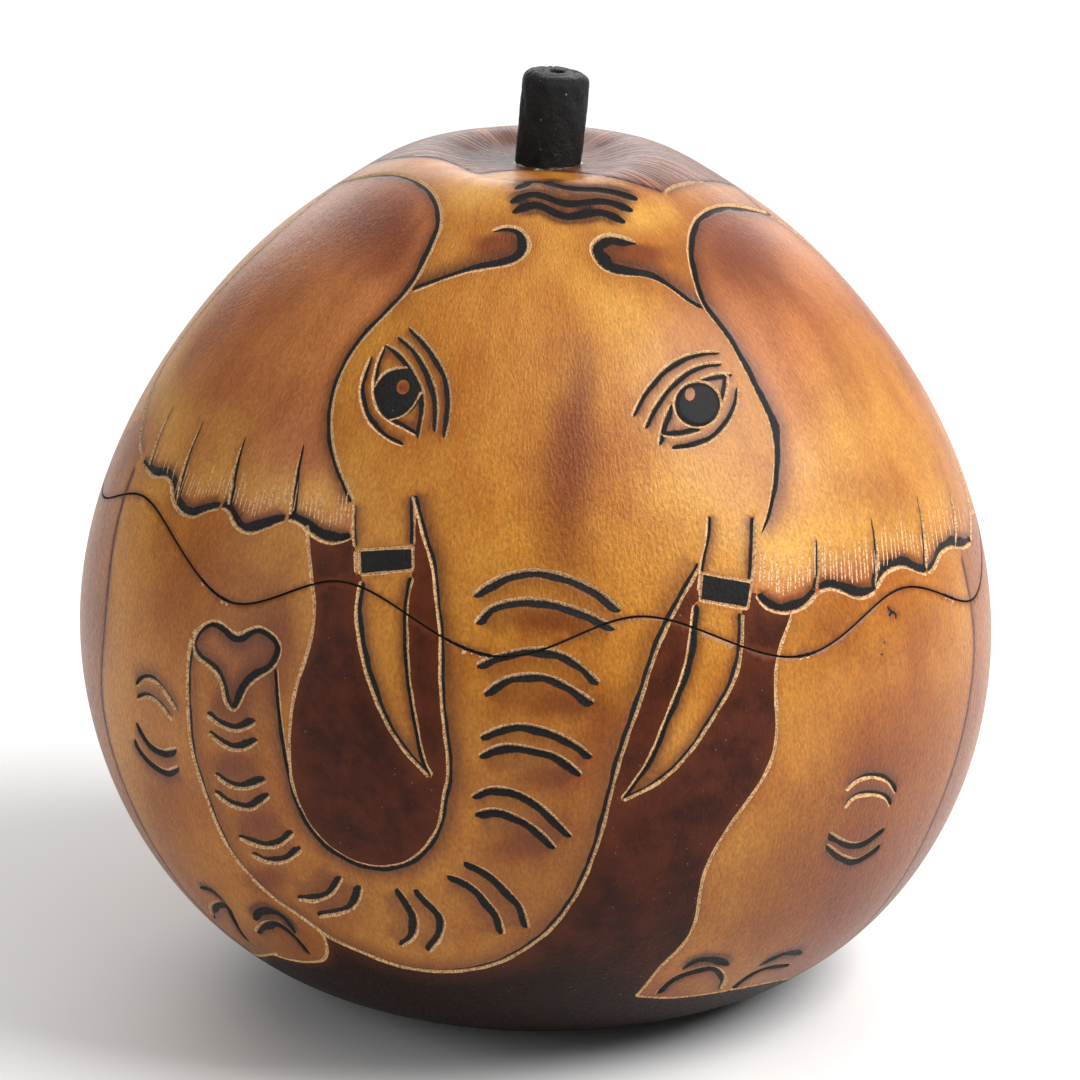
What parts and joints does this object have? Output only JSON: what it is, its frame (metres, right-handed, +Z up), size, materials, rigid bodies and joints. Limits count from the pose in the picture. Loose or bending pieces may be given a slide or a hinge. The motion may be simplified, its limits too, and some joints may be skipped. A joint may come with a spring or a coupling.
{
  "type": "lidded gourd box",
  "caption": "Round hollow gourd box with a lift-off lid along a wavy saw cut, a leaning twig knob, and an elephant carved and burnt round its shell.",
  "frame": {"origin": "middle of the sanded flat that the gourd stands on", "axes": "+Z up along the gourd's axis, -Y towards the carved face, +X to the viewer's right"},
  "size_m": [0.1106, 0.1106, 0.1115],
  "materials": {
    "gourd_shell": "waxed",
    "stem_paint": "matt painted",
    "glue": "dried clear glue"
  },
  "bodies": {
    "base": {"gourd_base": "gourd_shell"},
    "lid": {"gourd_lid": "gourd_shell", "stem": "stem_paint", "stem_glue": "glue"}
  },
  "joints": [
    {"name": "lid_lift", "type": "slide", "parent": "base", "child": "lid", "axis": [0, 0, 1], "range_m": [0, 0.06]}
  ]
}
